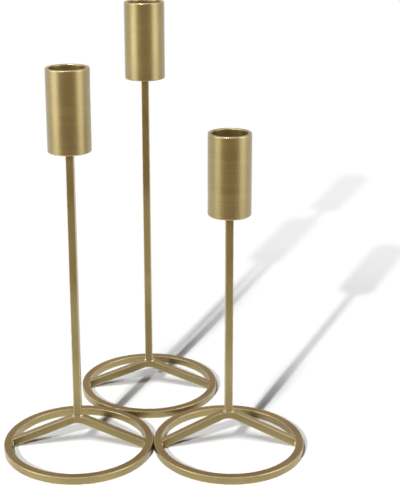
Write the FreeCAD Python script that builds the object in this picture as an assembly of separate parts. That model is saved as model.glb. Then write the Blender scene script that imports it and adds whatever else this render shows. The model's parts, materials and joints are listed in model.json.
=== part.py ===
import FreeCAD, Part
import math
import os

# A set of three candlesticks in lacquered steel: a tall one at the back, a middle one at the front
# left and a short one at the front right. Each is a ring of square bar, a cross bar bent to a wide
# roof that spans the ring, a square stem that stands on the bend, and a round cup for a taper candle.
# Millimetres, +Z up. The origin lies on the table, at the centre of the set's bounding box.

Vector = FreeCAD.Vector
ORIGIN = Vector(0, 0, 0)
AXIS_X = Vector(1, 0, 0)
AXIS_Y = Vector(0, 1, 0)
AXIS_Z = Vector(0, 0, 1)

# Square bar, the stock of ring, cross bar and stem
bar_width = 5.0
bar_edge_radius = 0.45

# Base ring, bent from the bar and closed
ring_outer_radius = 48.1

# Cross bar: radius of its centre line in the bend, and how far its feet stay above the table
cross_bar_bend_radius = 11.4
cross_bar_foot_clearance = 0.3

# Cup: a length of tube with a floor disc let into a rebate at its lower end. The recess is from
# the tube's end up to the disc, and the seat is how much wider the rebate is than the bore.
cup_outer_radius = 13.4
cup_wall = 2.2
cup_height = 51.3
cup_edge_radius = 0.6
cup_floor_thickness = 2.5
cup_floor_recess = 1.0
cup_floor_seat = 0.6

# Weld beads
hub_weld_radius = 1.4
ring_weld_radius = 1.2
cup_weld_radius = 0.9

# Height of each candlestick, table to rim
tall_height = 277.2
mid_height = 248.3
short_height = 207.8

# Height at which the centre lines of the cross bar's straight arms would meet on the stem's axis
tall_ridge_height = 20.1
mid_ridge_height = 21.0
short_ridge_height = 24.4

# How each candlestick is turned on the table, counter-clockwise from above
tall_turn_deg = -2.8
mid_turn_deg = -3.0
short_turn_deg = 0.4

# Gaps between the rings as they stand grouped, and the turn of the front row
mid_short_gap = 0.45
mid_tall_gap = 0.35
tall_short_gap = 4.8
front_row_turn_deg = -1.0

# Overrun of the cutting bodies past what they cut
overrun = 10.0

# A rounding takes at most this share of the narrower side of its section
largest_rounding_share = 0.45

# Directions of the cross bar's two arms from the stem
arm_turns_deg = (0, 180)

# Worked out from the sizes above
half_bar = bar_width / 2
bar_flat = bar_width - 2 * bar_edge_radius
ring_inner_radius = ring_outer_radius - bar_width
cup_inner_radius = cup_outer_radius - cup_wall
cup_floor_radius = cup_inner_radius + cup_floor_seat


def rounded_section(low_x, high_x, low_z, high_z, edge_radius):
    """Face in the XZ plane: a rectangle with its four corners rounded."""
    side = min(high_x - low_x, high_z - low_z)
    r = min(edge_radius, largest_rounding_share * side)
    bulge = r * (1 - math.sqrt(0.5))
    corners = [(low_x, low_z, 1, 1), (high_x, low_z, -1, 1), (high_x, high_z, -1, -1), (low_x, high_z, 1, -1)]
    edges = []
    last_point = None
    for number, (x, z, inward_x, inward_z) in enumerate(corners):
        along_x = Vector(x + inward_x * r, 0, z)
        along_z = Vector(x, 0, z + inward_z * r)
        middle = Vector(x + inward_x * bulge, 0, z + inward_z * bulge)
        start, end = (along_z, along_x) if number % 2 == 0 else (along_x, along_z)
        if last_point is not None:
            edges.append(Part.LineSegment(last_point, start).toShape())
        else:
            first_point = start
        edges.append(Part.Arc(start, middle, end).toShape())
        last_point = end
    edges.append(Part.LineSegment(last_point, first_point).toShape())
    return Part.Face(Part.Wire(edges))


def bar_along_x(start_x, end_x):
    """Square bar with rounded long edges, its centre line on the X axis."""
    section = rounded_section(-half_bar, half_bar, -half_bar, half_bar, bar_edge_radius)
    section.rotate(ORIGIN, AXIS_Z, 90)
    section.translate(Vector(start_x, 0, 0))
    return section.extrude(Vector(end_x - start_x, 0, 0))


def make_base_ring():
    section = rounded_section(ring_inner_radius, ring_outer_radius, 0, bar_width, bar_edge_radius)
    return section.revolve(ORIGIN, AXIS_Z, 360)


def arm_slope_deg(ridge_height):
    """An arm of the cross bar rises from mid height of the ring's inner wall to the ridge."""
    return math.degrees(math.atan2(ridge_height - half_bar, ring_inner_radius))


def bend_centre_height(ridge_height):
    """The bend's centre of curvature lies under the ridge, the bend radius from both centre lines."""
    return ridge_height - cross_bar_bend_radius / math.cos(math.radians(arm_slope_deg(ridge_height)))


def make_cross_bar(ridge_height):
    """Bar bent over the stem's axis, its feet coped to the ring's inner wall, its arms along +X and -X."""
    slope = arm_slope_deg(ridge_height)
    section = rounded_section(-half_bar, half_bar, -half_bar, half_bar, bar_edge_radius)
    section.rotate(ORIGIN, AXIS_Z, 90)
    section.translate(Vector(0, 0, cross_bar_bend_radius))
    left_end, right_end = section.copy(), section.copy()
    left_end.rotate(ORIGIN, AXIS_Y, -slope)
    right_end.rotate(ORIGIN, AXIS_Y, slope)
    bend = left_end.revolve(ORIGIN, AXIS_Y, 2 * slope)
    along = FreeCAD.Rotation(AXIS_Y, slope).multVec(AXIS_X) * (ring_outer_radius + ridge_height)
    right_arm = right_end.extrude(along)
    left_arm = left_end.extrude(Vector(-along.x, 0, along.z))
    bar = bend.fuse([left_arm, right_arm]).removeSplitter()
    bar.translate(Vector(0, 0, bend_centre_height(ridge_height)))
    inside_ring = Part.makeCylinder(ring_inner_radius, ridge_height + overrun,
                                    Vector(0, 0, cross_bar_foot_clearance))
    return bar.common(inside_ring)


def arm_block(ridge_height):
    """The arm along +X as a block with sharp edges and both ends too long, to cut welds to it."""
    length = ring_outer_radius + ridge_height
    block = Part.makeBox(length, bar_width, bar_width, Vector(-half_bar, -half_bar, -half_bar))
    block.rotate(ORIGIN, AXIS_Y, arm_slope_deg(ridge_height))
    block.translate(Vector(0, 0, ridge_height))
    return block


def bend_outside(ridge_height):
    """Cylinder along Y whose surface is the upper side of the bend, to cope the stem to it."""
    centre = Vector(0, -bar_width, bend_centre_height(ridge_height))
    return Part.makeCylinder(cross_bar_bend_radius + half_bar, 2 * bar_width, centre, AXIS_Y)


def make_stem(ridge_height, top_height):
    """Upright bar, its lower end coped to the bend of the cross bar."""
    foot = bend_centre_height(ridge_height) + cross_bar_bend_radius
    stem = bar_along_x(0, top_height - foot)
    stem.rotate(ORIGIN, AXIS_Y, -90)
    stem.translate(Vector(0, 0, foot))
    return stem.cut(bend_outside(ridge_height))


def make_hub_weld(ridge_height, cross_bar):
    """Bead across the bend, in its corner with the face of the stem that looks along +X."""
    outside_radius = cross_bar_bend_radius + half_bar
    corner_height = bend_centre_height(ridge_height) + math.sqrt(outside_radius ** 2 - half_bar ** 2)
    bead = Part.makeCylinder(hub_weld_radius, bar_flat, Vector(half_bar, -bar_flat / 2, corner_height), AXIS_Y)
    stem_block = Part.makeBox(bar_width, bar_width, ridge_height + overrun, Vector(-half_bar, -half_bar, 0))
    return bead.cut(stem_block).cut(cross_bar)


def make_ring_welds(ridge_height):
    """Beads down both sides of the foot of the arm along +X, against the ring's inner wall."""
    corner_x = math.sqrt(ring_inner_radius ** 2 - half_bar ** 2)
    inside_ring = Part.makeCylinder(ring_inner_radius, bar_width)
    beads = []
    for side in (-1, 1):
        bead = Part.makeCylinder(ring_weld_radius, bar_flat, Vector(corner_x, side * half_bar, bar_edge_radius))
        bead = bead.common(inside_ring)
        foot_block = Part.makeBox(ring_outer_radius, bar_width, bar_width, Vector(0, -half_bar, 0))
        beads.append(bead.cut(foot_block).cut(arm_block(ridge_height)))
    return beads


def make_cup_weld(top_height):
    """Bead between the underside of the floor disc and one face of the stem."""
    bead = Part.makeCylinder(cup_weld_radius, bar_flat, Vector(half_bar, -bar_flat / 2, top_height), AXIS_Y)
    corner_box = Part.makeBox(cup_weld_radius, bar_flat, cup_weld_radius,
                              Vector(half_bar, -bar_flat / 2, top_height - cup_weld_radius))
    return bead.common(corner_box)


def make_cup_tube(height):
    low = height - cup_height
    section = rounded_section(cup_inner_radius, cup_outer_radius, low, height, cup_edge_radius)
    rebate_depth = cup_floor_recess + cup_floor_thickness
    rebate = Part.makeCylinder(cup_floor_radius, rebate_depth + overrun, Vector(0, 0, low - overrun))
    return section.revolve(ORIGIN, AXIS_Z, 360).cut(rebate)


def make_cup_floor(top_height):
    return Part.makeCylinder(cup_floor_radius, cup_floor_thickness, Vector(0, 0, top_height))


def turned(shape, angle_deg):
    copy = shape.copy()
    copy.rotate(ORIGIN, AXIS_Z, angle_deg)
    return copy


def make_candlestick(height, ridge_height):
    """All pieces of one candlestick, its axis on the Z axis."""
    stem_top = height - cup_height + cup_floor_recess
    cross_bar = make_cross_bar(ridge_height)
    hub_weld = make_hub_weld(ridge_height, cross_bar)
    ring_welds = make_ring_welds(ridge_height)
    return {
        "base_ring": [make_base_ring()],
        "cross_bar": [cross_bar],
        "stem": [make_stem(ridge_height, stem_top)],
        "cup_tube": [make_cup_tube(height)],
        "cup_floor": [make_cup_floor(stem_top)],
        "hub_welds": [turned(hub_weld, a) for a in arm_turns_deg],
        "ring_welds": [turned(bead, a) for a in arm_turns_deg for bead in ring_welds],
        "cup_welds": [turned(make_cup_weld(stem_top), quarter * 90) for quarter in range(4)],
    }


def ring_centres():
    """Centres of the three rings, from their gaps, about the centre of the set's box."""
    ring_width = 2 * ring_outer_radius
    mid_to_short = ring_width + mid_short_gap
    mid_to_tall = ring_width + mid_tall_gap
    tall_to_short = ring_width + tall_short_gap
    along = (mid_to_short ** 2 + mid_to_tall ** 2 - tall_to_short ** 2) / (2 * mid_to_short)
    across = math.sqrt(mid_to_tall ** 2 - along ** 2)
    centres = {"mid": Vector(0, 0, 0), "short": Vector(mid_to_short, 0, 0), "tall": Vector(along, across, 0)}
    row_turn = FreeCAD.Rotation(AXIS_Z, front_row_turn_deg)
    centres = {name: row_turn.multVec(centre) for name, centre in centres.items()}
    xs = [centre.x for centre in centres.values()]
    ys = [centre.y for centre in centres.values()]
    middle = Vector((min(xs) + max(xs)) / 2, (min(ys) + max(ys)) / 2, 0)
    return {name: centre - middle for name, centre in centres.items()}


def main():
    os.makedirs("parts", exist_ok=True)
    candlesticks = {
        "tall": (tall_height, tall_ridge_height, tall_turn_deg),
        "mid": (mid_height, mid_ridge_height, mid_turn_deg),
        "short": (short_height, short_ridge_height, short_turn_deg),
    }
    centres = ring_centres()
    for name, (height, ridge_height, turn_deg) in candlesticks.items():
        print(name, "axis at x %.3f y %.3f" % (centres[name].x, centres[name].y),
              "arm slope %.2f deg" % arm_slope_deg(ridge_height),
              "top of the bend at %.3f" % (bend_centre_height(ridge_height) + cross_bar_bend_radius + half_bar))
        for piece, solids in make_candlestick(height, ridge_height).items():
            placed = []
            for solid in solids:
                solid = turned(solid, turn_deg)
                solid.translate(centres[name])
                placed.append(solid)
            shape = placed[0] if len(placed) == 1 else Part.makeCompound(placed)
            shape.exportStep("parts/" + name + "_" + piece + ".step")


main()
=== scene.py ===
# %% [markdown]
# # Three candlesticks in satin gold
#
# The set is made of slim square steel bar. Each candlestick has a ring to stand on, a cross bar bent to a
# wide roof that spans the ring, one straight stem on the bend and a round cup for a taper candle.
# Everything is welded together and sprayed with one satin gold lacquer.
#
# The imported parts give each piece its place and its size. This file dresses them: every piece is built
# again with softly rounded edges, welds get their ripple, and the lacquer gets its sheen.

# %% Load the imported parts
import json
import math

import bmesh
import bpy
from mathutils import Matrix, Vector

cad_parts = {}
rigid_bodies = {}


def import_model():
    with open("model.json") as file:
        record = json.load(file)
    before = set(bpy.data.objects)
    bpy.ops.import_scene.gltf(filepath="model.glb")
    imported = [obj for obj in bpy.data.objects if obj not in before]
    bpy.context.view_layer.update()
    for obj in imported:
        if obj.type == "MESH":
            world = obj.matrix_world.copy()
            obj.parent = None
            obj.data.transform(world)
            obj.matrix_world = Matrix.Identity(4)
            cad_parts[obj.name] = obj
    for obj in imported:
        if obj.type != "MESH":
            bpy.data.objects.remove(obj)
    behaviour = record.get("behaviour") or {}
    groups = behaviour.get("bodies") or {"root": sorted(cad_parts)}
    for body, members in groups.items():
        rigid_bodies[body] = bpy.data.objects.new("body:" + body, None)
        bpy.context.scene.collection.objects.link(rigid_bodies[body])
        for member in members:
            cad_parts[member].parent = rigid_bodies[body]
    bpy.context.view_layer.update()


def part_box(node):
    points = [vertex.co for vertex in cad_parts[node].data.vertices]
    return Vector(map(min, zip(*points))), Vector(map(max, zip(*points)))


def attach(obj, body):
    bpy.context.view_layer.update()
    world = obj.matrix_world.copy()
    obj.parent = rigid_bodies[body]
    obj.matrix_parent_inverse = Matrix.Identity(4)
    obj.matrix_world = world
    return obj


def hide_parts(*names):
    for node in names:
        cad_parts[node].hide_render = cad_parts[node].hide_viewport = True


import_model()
MM = 0.001
CANDLESTICKS = ("tall", "mid", "short")

# %% [markdown]
# ## The camera
#
# The view is set by a few measured numbers: where the lens stands, where it looks, and how many pixels its
# focal length spans. The picture is a crop from the side of a wider shot, so the lens axis doesn't meet the
# middle of the frame. Blender says that with the camera's shift. All is worked out for 400 by 485 pixels.

# %% Set up the camera
PICTURE_SIZE = (400, 485)
FOCAL_PIXELS = 1129.12
AXIS_PIXEL = (150.0, 165.0)
CAMERA_PLACE = Vector((4.853, -703.933, 360.399)) * MM
PITCH, YAW, ROLL = 0.255005, -0.007168, 0.013424
SENSOR = 36.0
NEAREST, FARTHEST = 0.01, 50


def camera_axes(pitch, yaw, roll):
    """Right, down and forward as unit vectors."""
    forward = Vector((math.sin(yaw) * math.cos(pitch), math.cos(yaw) * math.cos(pitch), -math.sin(pitch)))
    level_right = Vector((math.cos(yaw), -math.sin(yaw), 0))
    level_down = forward.cross(level_right)
    right = level_right * math.cos(roll) + level_down * math.sin(roll)
    down = level_down * math.cos(roll) - level_right * math.sin(roll)
    return right, down, forward


lens = bpy.data.cameras.new("camera")
lens.sensor_width = SENSOR
lens.lens = FOCAL_PIXELS * SENSOR / PICTURE_SIZE[1]
lens.shift_x = (PICTURE_SIZE[0] / 2 - AXIS_PIXEL[0]) / PICTURE_SIZE[1]
lens.shift_y = (AXIS_PIXEL[1] - PICTURE_SIZE[1] / 2) / PICTURE_SIZE[1]
lens.clip_start, lens.clip_end = NEAREST, FARTHEST
camera = bpy.data.objects.new("camera", lens)
bpy.context.scene.collection.objects.link(camera)
right, down, forward = camera_axes(PITCH, YAW, ROLL)
turn = Matrix((right, -down, -forward)).transposed()
camera.matrix_world = Matrix.Translation(CAMERA_PLACE) @ turn.to_4x4()
bpy.context.scene.camera = camera
print("lens %.1f mm, shift %.3f and %.3f" % (lens.lens, lens.shift_x, lens.shift_y))

# %% [markdown]
# ## Node trees as sums
#
# Materials and shapes both need node trees. A tree reads best when its sums look like sums, so one small
# class wraps a socket: adding, multiplying or dividing two of them puts the Math node there. Every other
# node comes from one method that takes its type, its settings and the values or links of its inputs. Two
# short forms of it make a sum and mix two colours.


# %% A socket that can be added and multiplied
class Value:
    """An output of a node. Operators on it add Math nodes to its tree."""

    def __init__(self, plan, socket):
        self.plan, self.socket = plan, socket

    def __add__(self, other):
        return self.plan.calculate("ADD", self, other)

    def __sub__(self, other):
        return self.plan.calculate("SUBTRACT", self, other)

    def __rsub__(self, other):
        return self.plan.calculate("SUBTRACT", other, self)

    def __mul__(self, other):
        return self.plan.calculate("MULTIPLY", self, other)

    def __truediv__(self, other):
        return self.plan.calculate("DIVIDE", self, other)

    def __rtruediv__(self, other):
        return self.plan.calculate("DIVIDE", other, self)

    def __pow__(self, other):
        return self.plan.calculate("POWER", self, other)

    __radd__ = __add__

    def step(self, low, high):
        """0 below low, 1 above high, and a smooth rise between."""
        return self.plan.node("ShaderNodeMapRange", {"interpolation_type": "SMOOTHSTEP"},
                              {"Value": self, "From Min": low, "From Max": high})


# %% A node tree with one method for every node
class Plan:
    """A node tree in the making."""

    def __init__(self, tree):
        self.tree = tree

    def node(self, kind, settings=None, inputs=None, out=0):
        """Add a node with its settings and inputs, and return its output out, if it has outputs."""
        made = self.tree.nodes.new(kind)
        for name, setting in (settings or {}).items():
            setattr(made, name, setting)
        for name, value in (inputs or {}).items():
            if isinstance(value, Value):
                self.tree.links.new(value.socket, made.inputs[name])
            else:
                made.inputs[name].default_value = value
        return Value(self, made.outputs[out]) if len(made.outputs) else None

    def calculate(self, operation, first, second=0.0):
        """The result of a Math node."""
        return self.node("ShaderNodeMath", {"operation": operation}, {0: first, 1: second})

    def mix(self, factor, first, second):
        """The first colour where the factor is 0, the second where it is 1."""
        first_colour, second_colour, mixed = 6, 7, 2
        return self.node("ShaderNodeMix", {"data_type": "RGBA", "blend_type": "MIX"},
                         {"Factor": factor, first_colour: first, second_colour: second}, out=mixed)


def new_plan(owner):
    """The emptied node tree of a material or a world."""
    owner.use_nodes = True
    owner.node_tree.nodes.clear()
    return Plan(owner.node_tree)


print("node trees are ready to be written as sums")

# %% [markdown]
# ## The satin gold lacquer
#
# The lacquer carries fine metal flakes, so it shines like metal but blurs what it mirrors. Three things
# keep it from looking like flat paint: the colour drifts a little over a few centimetres, the sheen is
# uneven, and the surface has a fine grain. Along the edges and all over the welds the film is thin and
# smoother. There the colour is painted lighter: partly thin film that rubs off, partly a painted highlight
# standing in for the light lines along the edges and the glints on the welds. The cups were turned, and
# their fine rings show through in colour and in relief. A clear top coat adds the pale shine. On the welds
# it has run off, and what is left of it is thin.
#
# The edges come from an attribute that the pieces carry, and everything else from Object coordinates, so
# the finish stays put when a candlestick is moved.

# %% Mix the lacquer
GOLD_DEEP = (0.265, 0.210, 0.078, 1)
GOLD_LIGHT = (0.325, 0.262, 0.104, 1)
# The lighter gold of edges and welds: partly thin film, partly painted highlight
GOLD_RUBBED_AND_HIGHLIT = (0.70, 0.59, 0.33, 1)

# The scale and the detail of each pattern, and how far a lathe's rings are drawn out round the cup
DRIFT, SHEEN, FINE, RUBBING_AND_HIGHLIGHT, RINGS = (38, 2), (420, 3), (2600, 2), (700, 3), (1, 4)
RING_SCALE = (9, 9, 900)

# Between which values of their patterns the drift of the colour and the lighter patches of thin film and
# painted highlight set in
DRIFT_RISE, RUBBING_AND_HIGHLIGHT_RISE = (0.3, 0.7), (0.25, 0.5)

# What the patterns do to the roughness and to the colour, and how deep the relief is
SHEEN_SPREAD, RINGS_SPREAD, RUBBED_SHINE = 0.10, 0.25, 0.08
# How far edges and welds are painted lighter, for thin film and painted highlight
RUBBED_AND_HIGHLIGHT_TINT = 0.6
RELIEF, RELIEF_DEPTH = 0.35, 0.2 * MM


def satin_gold(name, roughness=0.42, grain=0.10, turned=0.0, coat=0.8, worn_and_highlit=0.0):
    """Gold lacquer. grain is the depth of its fine texture, turned that of rings left by a lathe, and coat
    the share of clear top coat. The last argument says how much of the lighter look of the edges, thin film
    and painted highlight, lies away from the edges too."""
    finish = bpy.data.materials.new(name)
    p = new_plan(finish)
    place = p.node("ShaderNodeTexCoord", out="Object")

    def noise(scale, detail, where=place):
        return p.node("ShaderNodeTexNoise", {}, {"Vector": where, "Scale": scale, "Detail": detail})

    drift = noise(*DRIFT).step(*DRIFT_RISE)
    edge = p.node("ShaderNodeAttribute", {"attribute_name": "edge"}, out="Fac")
    # Where the colour is painted lighter: thin film and painted highlight on edges and welds
    rubbed_and_highlit = (edge + worn_and_highlit) * noise(*RUBBING_AND_HIGHLIGHT).step(*RUBBING_AND_HIGHLIGHT_RISE)
    rough = roughness + (noise(*SHEEN) - 0.5) * SHEEN_SPREAD - rubbed_and_highlit * RUBBED_SHINE
    height = noise(*FINE) * grain
    if turned:
        squeeze = {"Vector": place, "Scale": RING_SCALE}
        rings = noise(*RINGS, p.node("ShaderNodeMapping", {"vector_type": "POINT"}, squeeze))
        height = height + rings * turned
        rough = rough + (rings - 0.5) * RINGS_SPREAD
        drift = (drift + rings.step(*DRIFT_RISE)) / 2
    # Edges and welds painted lighter: partly thin film, partly painted highlight
    colour = p.mix(rubbed_and_highlit * RUBBED_AND_HIGHLIGHT_TINT, p.mix(drift, GOLD_DEEP, GOLD_LIGHT), GOLD_RUBBED_AND_HIGHLIT)
    bump = p.node("ShaderNodeBump", {}, {"Strength": RELIEF, "Distance": RELIEF_DEPTH, "Height": height})
    shine = {"Metallic": 0.90, "IOR": 1.5, "Coat Weight": coat, "Coat Roughness": 0.32}
    surface = p.node("ShaderNodeBsdfPrincipled", {},
                     {"Base Color": colour, "Roughness": rough, "Normal": bump, **shine})
    p.node("ShaderNodeOutputMaterial", {}, {"Surface": surface})
    return finish


bar_gold = satin_gold("satin gold on bar")
cup_gold = satin_gold("satin gold on turned cups", roughness=0.40, turned=0.8)
# The welds are painted lighter all over, partly thin film and partly painted glints
weld_gold = satin_gold("satin gold on welds", roughness=0.32, grain=0.16, coat=0.2, worn_and_highlit=1.0)
print("mixed", [m.name for m in (bar_gold, cup_gold, weld_gold)])

# %% [markdown]
# ## The section of the bar
#
# Cold drawn square bar has small rounded corners. The section is a closed line of points: a short arc at
# each corner and one support point beside each end of it, so that smooth shading stays flat on the flats.
# Each point also says how much of an edge it is, and the lacquer reads that.

# %% Draw the section
BAR = 5.0 * MM
BAR_EDGE = 0.45 * MM
SUPPORT = 0.3 * MM
ARC_STEPS = 4

# How much of an edge a point is where a rounding starts or ends. Within the rounding it is 1.
EDGE_START = 0.5


def rounded_section(width, height, edge):
    """Points (x, y, share of edge) round a rectangle with rounded corners, counter-clockwise."""
    points = []
    for turn, (sx, sy) in enumerate([(1, 1), (-1, 1), (-1, -1), (1, -1)]):
        middle = Vector((sx * (width / 2 - edge), sy * (height / 2 - edge)))
        arc = []
        for step in range(ARC_STEPS + 1):
            angle = math.pi / 2 * (turn + step / ARC_STEPS)
            arc.append(middle + Vector((math.cos(angle), math.sin(angle))) * edge)
        along = Vector((math.cos(math.pi / 2 * turn), math.sin(math.pi / 2 * turn)))
        across = Vector((-along.y, along.x))
        points.append((arc[0] - across * SUPPORT, 0.0))
        points += [(point, EDGE_START if step in (0, ARC_STEPS) else 1.0) for step, point in enumerate(arc)]
        points.append((arc[-1] - along * SUPPORT, 0.0))
    return [(point.x, point.y, share) for point, share in points]


bar_points = rounded_section(BAR, BAR, BAR_EDGE)
print(len(bar_points), "points round the bar")

# %% [markdown]
# ## Placing pieces
#
# A finished piece is one mesh that stands at the origin with its place in its points, as the imported parts
# do. It takes over from its node, rides on its candlestick and carries its lacquer.

# %% A helper that finishes a piece
SHARPEST_SMOOTH = math.radians(40)


def finish_piece(mesh, candlestick, part, material):
    """Hand a mesh over as the visible form of one node."""
    mesh.polygons.foreach_set("use_smooth", [True] * len(mesh.polygons))
    mesh.set_sharp_from_angle(angle=SHARPEST_SMOOTH)
    mesh.materials.clear()
    mesh.materials.append(material)
    piece = bpy.data.objects.new("%s_%s_gold" % (candlestick, part), mesh)
    bpy.context.scene.collection.objects.link(piece)
    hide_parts("%s_%s" % (candlestick, part))
    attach(piece, candlestick + "_candlestick")


# %% [markdown]
# ## Bending bar
#
# The rings and the cross bars are the same square bar, cold bent. Geometry Nodes can do what the bending
# machine does: a tree takes a line and sweeps the section along it. One tree bends all six pieces, and only
# the line differs. The tree reads the section from a helper object, which is removed afterwards.

# %% The tree that bends bar
def new_tree(name, inputs):
    """An empty geometry tree with named inputs, given as name: socket type."""
    tree = bpy.data.node_groups.new(name, "GeometryNodeTree")
    for label, kind in inputs.items():
        tree.interface.new_socket(label, in_out="INPUT", socket_type=kind)
    tree.interface.new_socket("Geometry", in_out="OUTPUT", socket_type="NodeSocketGeometry")
    plan = Plan(tree)
    entry = tree.nodes.new("NodeGroupInput")
    return plan, {label: Value(plan, entry.outputs[label]) for label in inputs}


def close_tree(plan, geometry, material):
    """End a tree in Realize Instances and Set Material."""
    real = plan.node("GeometryNodeRealizeInstances", {}, {"Geometry": geometry})
    dressed = plan.node("GeometryNodeSetMaterial", {}, {"Geometry": real, "Material": material})
    plan.node("NodeGroupOutput", {}, {"Geometry": dressed})
    return plan.tree


bend_plan, given = new_tree("bend bar along a line", {
    "Geometry": "NodeSocketGeometry", "Section": "NodeSocketObject", "Lacquer": "NodeSocketMaterial"})
path = bend_plan.node("GeometryNodeMeshToCurve", {}, {"Mesh": given["Geometry"]})
section = bend_plan.node("GeometryNodeObjectInfo", {"transform_space": "ORIGINAL"},
                         {"Object": given["Section"]}, out="Geometry")
section = bend_plan.node("GeometryNodeMeshToCurve", {}, {"Mesh": section})
bent = bend_plan.node("GeometryNodeCurveToMesh", {},
                      {"Curve": path, "Profile Curve": section, "Fill Caps": True})
bend_tree = close_tree(bend_plan, bent, given["Lacquer"])
print("the bending tree has", len(bend_tree.nodes), "nodes")


# %% Run a tree and keep the plain mesh
def grow(tree, values, start):
    """Evaluate a tree on a start mesh with its named inputs, and return the result as a mesh."""
    maker = bpy.data.objects.new("maker", start)
    bpy.context.scene.collection.objects.link(maker)
    modifier = maker.modifiers.new("maker", "NODES")
    modifier.node_group = tree
    for item in tree.interface.items_tree:
        if item.item_type == "SOCKET" and item.in_out == "INPUT" and item.name in values:
            modifier[item.identifier] = values[item.name]
    depsgraph = bpy.context.evaluated_depsgraph_get()
    mesh = bpy.data.meshes.new_from_object(maker.evaluated_get(depsgraph), depsgraph=depsgraph)
    bpy.data.objects.remove(maker)
    return mesh


def line_mesh(points, closed=False):
    """A start mesh that is one line of edges."""
    mesh = bpy.data.meshes.new("line")
    count = len(points)
    mesh.from_pydata(points, [(i, (i + 1) % count) for i in range(count if closed else count - 1)], [])
    return mesh


def section_object(points):
    """The section as a closed line that carries its edge shares, for the tree to sweep."""
    mesh = line_mesh([(x, y, 0) for x, y, _ in points], closed=True)
    edge = mesh.attributes.new("edge", "FLOAT", "POINT")
    edge.data.foreach_set("value", [share for _, _, share in points])
    outline = bpy.data.objects.new("section", mesh)
    bpy.context.scene.collection.objects.link(outline)
    return outline


# %% [markdown]
# ## The base rings
#
# A real ring is bent round a former, its two ends are butted together and welded, and the seam is ground
# flush. So the line is a circle at half the bar's height, and no seam shows.

# %% Bend the three rings
RING_STEPS = 192
bar_section = section_object(bar_points)
axes = {}
for candlestick in CANDLESTICKS:
    node = candlestick + "_base_ring"
    low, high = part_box(node)
    axes[candlestick] = Vector(((low.x + high.x) / 2, (low.y + high.y) / 2, 0))
    ring_outer = (high.x - low.x) / 2
    angles = [2 * math.pi * step / RING_STEPS for step in range(RING_STEPS)]
    reach = ring_outer - BAR / 2
    circle = [axes[candlestick] + Vector((reach * math.cos(angle), reach * math.sin(angle), BAR / 2))
              for angle in angles]
    mesh = grow(bend_tree, {"Section": bar_section, "Lacquer": bar_gold}, line_mesh(circle, closed=True))
    finish_piece(mesh, candlestick, "base_ring", bar_gold)
    print(node, "outer radius %.2f mm" % (ring_outer / MM), len(mesh.polygons), "faces")

# %% [markdown]
# ## The cross bars
#
# One bar spans each ring like a low roof: two straight arms and a round bend in the middle, which carries
# the stem. The taller bends belong to the shorter candlesticks. The line has a point at each foot and an
# arc of short steps for the bend. After the sweep, the feet are coped to the round inner wall of the ring
# by sliding their points along the arm, and the lowest corners are ground off just above the table.

# %% Where a candlestick stands, and the line of its cross bar
RIDGE_HEIGHT = {"tall": 20.1 * MM, "mid": 21.0 * MM, "short": 24.4 * MM}
TURN = {"tall": math.radians(-2.8), "mid": math.radians(-3.0), "short": math.radians(0.4)}
BEND_RADIUS = 11.4 * MM
FOOT_CLEARANCE = 0.3 * MM
RING_INNER = ring_outer - BAR
BEND_STEPS = 20


def stand(candlestick):
    """Where a candlestick stands and how it is turned, as a matrix."""
    return Matrix.Translation(axes[candlestick]) @ Matrix.Rotation(TURN[candlestick], 4, "Z")


def roof(ridge):
    """Slope of the arms, and height of the bend's centre of curvature, for a ridge height."""
    slope = math.atan2(ridge - BAR / 2, RING_INNER)
    return slope, ridge - BEND_RADIUS / math.cos(slope)


def roof_line(ridge):
    """Points along the centre line, from the left foot over the bend to the right foot."""
    slope, centre = roof(ridge)
    turns = [-slope + 2 * slope * step / BEND_STEPS for step in range(BEND_STEPS + 1)]
    bend = [(BEND_RADIUS * math.sin(a), 0, centre + BEND_RADIUS * math.cos(a)) for a in turns]
    foot = (RING_INNER, 0, ridge - RING_INNER * math.tan(slope))
    return [(-foot[0], 0, foot[2])] + bend + [foot]


# %% Shape the feet
SAME_PLACE = 0.0001 * MM


def to_mesh(shape, name, place):
    """Put a shape in place and turn it into a mesh whose faces point outwards."""
    bmesh.ops.recalc_face_normals(shape, faces=shape.faces)
    shape.transform(place)
    mesh = bpy.data.meshes.new(name)
    shape.to_mesh(mesh)
    shape.free()
    return mesh


def cope_feet(mesh, slope):
    """Fit both ends to the ring's inner wall and grind them off above the table."""
    shape = bmesh.new()
    shape.from_mesh(mesh)
    for corner in shape.verts:
        if abs(corner.co.x) > RING_INNER / 2:
            side = math.copysign(1, corner.co.x)
            wall = side * math.sqrt(RING_INNER ** 2 - corner.co.y ** 2)
            corner.co += Vector((1, 0, -side * math.tan(slope))) * (wall - corner.co.x)
    whole = list(shape.verts) + list(shape.edges) + list(shape.faces)
    cut = bmesh.ops.bisect_plane(shape, geom=whole, dist=SAME_PLACE, plane_co=(0, 0, FOOT_CLEARANCE),
                                 plane_no=(0, 0, -1), clear_outer=True)
    bmesh.ops.edgeloop_fill(shape, edges=[e for e in cut["geom_cut"] if isinstance(e, bmesh.types.BMEdge)])
    return shape


for candlestick in CANDLESTICKS:
    ridge = RIDGE_HEIGHT[candlestick]
    slope = roof(ridge)[0]
    straight = grow(bend_tree, {"Section": bar_section, "Lacquer": bar_gold}, line_mesh(roof_line(ridge)))
    coped = to_mesh(cope_feet(straight, slope), "cross_bar", stand(candlestick))
    finish_piece(coped, candlestick, "cross_bar", bar_gold)
    print(candlestick, "cross bar: arms at %.1f degrees" % math.degrees(slope))
bpy.data.objects.remove(bar_section)

# %% [markdown]
# ## The stems
#
# A stem is a straight length of the same bar. Its upper end is square, against the floor of the cup. Its
# lower end follows the bend that it stands on, which is a cylinder lying on its side.


# %% Cut the stems
def bend_top(ridge, x):
    """Height of the cross bar's upper side in the bend, at a distance x from the stem's axis."""
    return roof(ridge)[1] + math.sqrt((BEND_RADIUS + BAR / 2) ** 2 - x ** 2)


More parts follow.
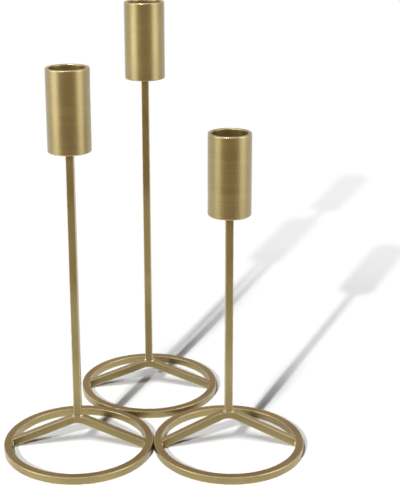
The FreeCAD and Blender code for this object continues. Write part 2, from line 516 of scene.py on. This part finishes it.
def stem_shape(ridge, top):
    """An upright bar from the bend up to the cup."""
    shape = bmesh.new()
    layer = shape.verts.layers.float.new("edge")
    rows = []
    for height in (0, 1):
        row = [shape.verts.new((x, y, top if height else bend_top(ridge, x))) for x, y, _ in bar_points]
        for corner, (_, _, share) in zip(row, bar_points):
            corner[layer] = share
        rows.append(row)
    count = len(bar_points)
    for i in range(count):
        j = (i + 1) % count
        shape.faces.new((rows[0][i], rows[0][j], rows[1][j], rows[1][i]))
    shape.faces.new(list(reversed(rows[0])))
    shape.faces.new(rows[1])
    return shape


for candlestick in CANDLESTICKS:
    low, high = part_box(candlestick + "_stem")
    shape = stem_shape(RIDGE_HEIGHT[candlestick], high.z)
    finish_piece(to_mesh(shape, "stem", stand(candlestick)), candlestick, "stem", bar_gold)
    print(candlestick, "stem %.1f mm long" % ((high.z - low.z) / MM))

# %% [markdown]
# ## The cups
#
# A cup is a length of tube, faced and rounded on a lathe, with a disc let into a rebate at its lower end.
# A lathe shape is a profile turned round an axis. The same few lines turn the tube and the disc. Support
# points on the walls beside each rounding, and one in the middle of the rim, keep the flats flat and the
# rim's glint thin: both the lamp's glint and the highlight painted on the edges.

# %% Turn a profile
TURN_STEPS = 144


def turn_profile(profile, middle):
    """Turn points (radius, height, edge share) round an upright axis. A radius of 0 closes the shape."""
    shape = bmesh.new()
    layer = shape.verts.layers.float.new("edge")
    rows = []
    for radius, height, share in profile:
        steps = TURN_STEPS if radius > 0 else 1
        row = []
        for step in range(steps):
            angle = 2 * math.pi * step / TURN_STEPS
            corner = shape.verts.new((radius * math.cos(angle), radius * math.sin(angle), height))
            corner[layer] = share
            row.append(corner)
        rows.append(row * (TURN_STEPS if steps == 1 else 1))
    for lower, upper in zip(rows, rows[1:] + rows[:1]):
        for i in range(TURN_STEPS):
            j = (i + 1) % TURN_STEPS
            corners = []
            for corner in (lower[i], lower[j], upper[j], upper[i]):
                if corner not in corners:
                    corners.append(corner)
            if len(corners) > 2:
                shape.faces.new(corners)
    return to_mesh(shape, "turned", Matrix.Translation(middle))


# %% Make the cups and their floors
CUP_EDGE = 0.6 * MM
CUP_WALL = 2.2 * MM
FLOOR_EDGE = 0.25 * MM


def arc(centre_r, centre_z, radius, start, end, steps=ARC_STEPS):
    """Points of a small rounding, as (radius, height, edge share), angles in degrees."""
    points = []
    for step in range(steps + 1):
        angle = math.radians(start + (end - start) * step / steps)
        share = EDGE_START if step in (0, steps) else 1.0
        points.append((centre_r + radius * math.cos(angle), centre_z + radius * math.sin(angle), share))
    return points


for candlestick in CANDLESTICKS:
    low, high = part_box(candlestick + "_cup_tube")
    floor_low, floor_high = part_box(candlestick + "_cup_floor")
    outer = (high.x - low.x) / 2
    inner, rebate = outer - CUP_WALL, (floor_high.x - floor_low.x) / 2
    under, over = low.z + CUP_EDGE, high.z - CUP_EDGE
    tube = [(rebate, floor_high.z, 0), (rebate, low.z, EDGE_START)]
    tube += arc(outer - CUP_EDGE, under, CUP_EDGE, -90, 0)
    tube += [(outer, under + SUPPORT, 0), (outer, over - SUPPORT, 0)]
    tube += arc(outer - CUP_EDGE, over, CUP_EDGE, 0, 90) + [((outer + inner) / 2, high.z, 0)]
    tube += arc(inner + CUP_EDGE, over, CUP_EDGE, 90, 180)
    tube += [(inner, over - SUPPORT, 0), (inner, floor_high.z, 0)]
    finish_piece(turn_profile(tube, axes[candlestick]), candlestick, "cup_tube", cup_gold)
    disc = [(0, floor_low.z, 0)]
    disc += arc(rebate - FLOOR_EDGE, floor_low.z + FLOOR_EDGE, FLOOR_EDGE, -90, 0, steps=2)
    disc += [(rebate, floor_high.z, 0), (0, floor_high.z, 0)]
    finish_piece(turn_profile(disc, axes[candlestick]), candlestick, "cup_floor", cup_gold)
    print(candlestick, "cup %.1f mm across, %.1f mm deep" % (2 * outer / MM, (high.z - floor_high.z) / MM))

# %% [markdown]
# ## The weld beads
#
# A weld bead is a row of overlapping puddles that froze one after the other. Each bead here starts as one
# straight edge. A tree gives it many points, lets its thickness swell and shrink once for each puddle, and
# sweeps a circle along it. Where the weld stops, the last puddle closes in a round knob. Those at the
# stem's foot look out past the bars at the front and catch the light. The rest of a bead lies half inside
# the bars, as real weld does.

# %% The tree that lays beads
# Sides of a bead, how deep its ripple is, how its thickness wanders, and how full its ends are
BEAD_SIDES = 14
RIPPLE = 0.16
LEAST_BEAD, BEAD_WANDER, WANDER_SCALE = 0.86, 0.24, 900.0
FULL_ENDS = 0.45

bead_plan, given = new_tree("lay weld beads", {
    "Geometry": "NodeSocketGeometry", "Bead radius": "NodeSocketFloat", "Puddles": "NodeSocketFloat",
    "Points": "NodeSocketInt", "Seed": "NodeSocketFloat", "Lacquer": "NodeSocketMaterial"})
line = bead_plan.node("GeometryNodeMeshToCurve", {}, {"Mesh": given["Geometry"]})
line = bead_plan.node("GeometryNodeResampleCurve", {"mode": "COUNT"},
                      {"Curve": line, "Count": given["Points"]})
travel = bead_plan.node("GeometryNodeSplineParameter", {}, out="Factor")
spot = bead_plan.node("GeometryNodeInputPosition")
wander = bead_plan.node("ShaderNodeTexNoise", {"noise_dimensions": "4D"},
                        {"Vector": spot, "W": given["Seed"], "Scale": WANDER_SCALE, "Detail": 1.0})
wave = travel * given["Puddles"] * math.pi
ripple = bead_plan.calculate("ABSOLUTE", bead_plan.calculate("SINE", wave))
from_middle = (travel * 2 - 1) ** 4
ends = (1 + from_middle * FULL_ENDS) * (1 - from_middle) ** 0.5
thickness = (1 - RIPPLE + ripple * RIPPLE) * (LEAST_BEAD + wander * BEAD_WANDER) * ends
circle = bead_plan.node("GeometryNodeCurvePrimitiveCircle", {"mode": "RADIUS"},
                        {"Resolution": BEAD_SIDES, "Radius": given["Bead radius"]})
beads = bead_plan.node("GeometryNodeCurveToMesh", {},
                       {"Curve": line, "Profile Curve": circle, "Scale": thickness, "Fill Caps": True})
bead_tree = close_tree(bead_plan, beads, given["Lacquer"])
print("the bead tree has", len(bead_tree.nodes), "nodes")


# %% Lay the beads
def edges_mesh(lines, place):
    """A start mesh of separate edges."""
    mesh = bpy.data.meshes.new("lines")
    points = [place @ Vector(point) for ends_of_line in lines for point in ends_of_line]
    mesh.from_pydata(points, [(2 * i, 2 * i + 1) for i in range(len(lines))], [])
    return mesh


HUB_BEAD, RING_BEAD, CUP_BEAD = 1.15 * MM, 1.0 * MM, 0.8 * MM
KNOB_REACH = 0.35 * MM
PUDDLES, BEAD_POINTS, SEED_STEP = 6.0, 49, 3.1
quarter_turns = [Matrix.Rotation(math.pi / 2 * count, 3, "Z") for count in range(4)]
half_turns = quarter_turns[::2]


def repeated(lines, turns):
    """The same lines at every one of these turns about the stem's axis."""
    return [[turn @ point for point in line] for turn in turns for line in lines]


for number, candlestick in enumerate(CANDLESTICKS):
    corner_z = bend_top(RIDGE_HEIGHT[candlestick], BAR / 2)
    wall_x = math.sqrt(RING_INNER ** 2 - (BAR / 2) ** 2)
    under_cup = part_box(candlestick + "_cup_floor")[0].z
    hub_line = [Vector((BAR / 2, side * (BAR / 2 + KNOB_REACH), corner_z)) for side in (-1, 1)]
    cup_line = [Vector((BAR / 2, side * (BAR / 2 - BAR_EDGE), under_cup)) for side in (-1, 1)]
    foot_lines = [[Vector((wall_x, side * BAR / 2, z)) for z in (BAR_EDGE, BAR - BAR_EDGE)]
                  for side in (-1, 1)]
    for part, radius, lines in (("hub_welds", HUB_BEAD, repeated([hub_line], half_turns)),
                                ("ring_welds", RING_BEAD, repeated(foot_lines, half_turns)),
                                ("cup_welds", CUP_BEAD, repeated([cup_line], quarter_turns))):
        mesh = grow(bead_tree, {"Bead radius": radius, "Puddles": PUDDLES, "Points": BEAD_POINTS,
                                "Seed": SEED_STEP * number, "Lacquer": weld_gold},
                    edges_mesh(lines, stand(candlestick)))
        finish_piece(mesh, candlestick, part, weld_gold)
    print(candlestick, "beads laid at the stem's foot, the cross bar's feet and under the cup")

# %% [markdown]
# ## The lamps
#
# A small lamp far off at the front left draws the long shadows. An upright strip above it draws the short
# ones inside the rings: they are soft across the strip's length, and the stems' shadows, which lie along
# it, stay crisp. The picture has no short shadow of a cup, so only the bases and the stems stand in the
# strip's light. Neither lamp shows in the lacquer. What shows there are two tall panels beside the set, as
# the bright bands down each cup, and one glint lamp, as the sparks on the rims and on the welds.


# %% Hang the lamps
def lamp(name, place, aim, size, watts, in_metal):
    """An area lamp of size (width, height) at a place, aimed at a point. in_metal says whether it shows only
    in shiny surfaces or lights only matt ones."""
    light = bpy.data.lights.new(name, "AREA")
    light.shape, light.size, light.size_y = "RECTANGLE", size[0], size[1]
    light.energy = watts
    holder = bpy.data.objects.new(name, light)
    bpy.context.scene.collection.objects.link(holder)
    facing = (Vector(aim) - Vector(place)).to_track_quat("-Z", "Y")
    holder.matrix_world = Matrix.Translation(place) @ facing.to_matrix().to_4x4()
    holder.visible_glossy, holder.visible_diffuse = in_metal, not in_metal
    return holder


# Each lamp over the table: its place, its width and height, and its watts
TABLE_LAMPS = {"key lamp": ((-1.056, -2.390, 1.474), (0.06, 0.06), 86.0),
               "high lamp": ((-0.725, -1.647, 2.400), (0.22, 0.80), 77.5)}
PANELS = (("left panel", (-0.90, -0.42, 0.35), 5.7), ("right panel", (0.90, -0.42, 0.35), 5.2))
PANEL_AIM, PANEL_SIZE = (0, 0, 0.15), (0.62, 0.90)
GLINT_SIZE, GLINT_WATTS = (0.3, 0.3), 60.0


def pieces(name, parts):
    """A collection of these parts of every candlestick, for lamps to name."""
    chosen = bpy.data.collections.new(name)
    for candlestick in CANDLESTICKS:
        for part in parts:
            chosen.objects.link(bpy.data.objects["%s_%s_gold" % (candlestick, part)])
    return chosen


low_pieces = pieces("low pieces", ("base_ring", "cross_bar", "stem", "hub_welds", "ring_welds"))
for name, (place, size, watts) in TABLE_LAMPS.items():
    holder = lamp(name, place, (0, 0, 0), size, watts, in_metal=False)
    if name == "high lamp":
        holder.light_linking.blocker_collection = low_pieces
for name, place, watts in PANELS:
    lamp(name, place, PANEL_AIM, PANEL_SIZE, watts, in_metal=True)
glint = lamp("glint lamp", TABLE_LAMPS["high lamp"][0], (0, 0, 0), GLINT_SIZE, GLINT_WATTS, in_metal=True)
glint.light_linking.receiver_collection = pieces("glinting pieces", ("cup_tube", "hub_welds", "ring_welds"))
bpy.context.scene.view_settings.view_transform = "Standard"

# %% [markdown]
# ## The table
#
# The set stands on a plain white table. The table takes the shadows, so it is a real diffuse surface. A
# lamp gives less light the farther away it is and the lower it stands over a spot, and the table would turn
# grey at the back and the sides. So it glows a little, for the camera and for reflections only: its glow is
# what each lamp loses there. Away from the set the sheet is darker and glows more, as if lit from behind,
# and so the long shadows fade as they do in the picture. It ends a little in front of the set, and the
# middle of each cup mirrors the dim room there.

# %% Lay the table
TABLE_WHITE = 0.82
TABLE_SIDE, TABLE_FRONT, TABLE_BACK = 2.2, -0.30, 3.2

# The glow near the set, what the darker sheet adds to it, how much of the white comes from behind far
# from the set, and from where to where that rises
GLOW, FAR_GLOW = 0.01, 0.04
LIT_BEHIND = 0.42
FADE_FROM, FADE_TO = 0.20, 0.40
floor_shape = bmesh.new()
corners = ((-TABLE_SIDE, TABLE_FRONT), (TABLE_SIDE, TABLE_FRONT),
           (TABLE_SIDE, TABLE_BACK), (-TABLE_SIDE, TABLE_BACK))
floor_shape.faces.new([floor_shape.verts.new((x, y, 0)) for x, y in corners])
floor_mesh = bpy.data.meshes.new("table")
floor_shape.to_mesh(floor_mesh)
floor_shape.free()
table = bpy.data.objects.new("table", floor_mesh)
bpy.context.scene.collection.objects.link(table)


def seen(plan):
    """1 for rays of the camera, of reflections and through glass, else 0."""
    total = 0
    for ray in ("Is Camera Ray", "Is Glossy Ray", "Is Transmission Ray"):
        total = plan.node("ShaderNodeLightPath", out=ray) + total
    return total.step(0.0, 1.0)


white = bpy.data.materials.new("white table")
p = new_plan(white)
where = p.node("ShaderNodeTexCoord", out="Object")
middle = p.node("ShaderNodeVectorMath", {"operation": "LENGTH"}, {0: where}, out="Value")
far = middle.step(FADE_FROM, FADE_TO) * LIT_BEHIND
glow = far * FAR_GLOW + GLOW
for name, (place, size, watts) in TABLE_LAMPS.items():
    straight = Vector(place).length
    # A sheet that faces a lamp shows its watts over (pi times the distance) squared. This one lies aslant.
    share = TABLE_WHITE * watts * place[2] / straight ** 3 / math.pi ** 2
    distance = p.node("ShaderNodeVectorMath", {"operation": "DISTANCE"}, {0: where, 1: place}, out="Value")
    ahead = -Vector(place) / straight
    along = p.node("ShaderNodeVectorMath", {"operation": "DOT_PRODUCT"}, {0: where, 1: ahead}, out="Value")
    along = along + straight
    glow = (1 - (1 - far) * (straight / distance) ** 3 * (along / distance)) * share + glow
    print(name, "gives %.2f of the white at the middle of the table" % share)
glow = p.calculate("MAXIMUM", glow, 0.0) * seen(p)
paper = p.mix(far, (TABLE_WHITE, TABLE_WHITE, TABLE_WHITE, 1), (0, 0, 0, 1))
matt = p.node("ShaderNodeBsdfDiffuse", {}, {"Color": paper})
light = p.node("ShaderNodeEmission", {}, {"Color": (1, 1, 1, 1), "Strength": glow})
p.node("ShaderNodeOutputMaterial", {}, {"Surface": p.node("ShaderNodeAddShader", {}, {0: matt, 1: light})})
table.data.materials.append(white)

# %% [markdown]
# ## The room
#
# The camera sees white behind the table. Reflections see a room: white at the horizon behind the set, dim
# and warm on the side of the camera, and dimmer higher up, so that the tops of the bars turn deeper. Only
# the ceiling straight above is bright.

# %% Build the room
ROOM_FRONT = (0.33, 0.22, 0.15, 1)
ROOM_BACK = (1.0, 0.95, 0.88, 1)
ROOM_ABOVE = (0.50, 0.36, 0.29, 1)
ROOM_TOP = (1.3, 1.1, 0.9, 1)
ROOM_LIGHT = 0.05

# Where the colours change: from the front to the back, as the view rises, and at the ceiling
FRONT_TO_BACK, RISING, CEILING = (-0.5, 0.5), (0.05, 0.45), (0.65, 0.95)
world = bpy.data.worlds.new("white room")
bpy.context.scene.world = world
p = new_plan(world)
direction = p.node("ShaderNodeTexCoord", out="Generated")
depth = p.node("ShaderNodeSeparateXYZ", {}, {0: direction}, out="Y")
height = p.node("ShaderNodeSeparateXYZ", {}, {0: direction}, out="Z")
room = p.mix(depth.step(*FRONT_TO_BACK), ROOM_FRONT, ROOM_BACK)
room = p.mix(height.step(*RISING), room, ROOM_ABOVE)
room = p.mix(height.step(*CEILING), room, ROOM_TOP)
room = p.mix(seen(p), (ROOM_LIGHT, ROOM_LIGHT, ROOM_LIGHT, 1), room)
room = p.mix(p.node("ShaderNodeLightPath", out="Is Camera Ray"), room, (1, 1, 1, 1))
p.node("ShaderNodeOutputWorld", {}, {"Surface": p.node("ShaderNodeBackground", {}, {"Color": room})})
print("table and room are white")
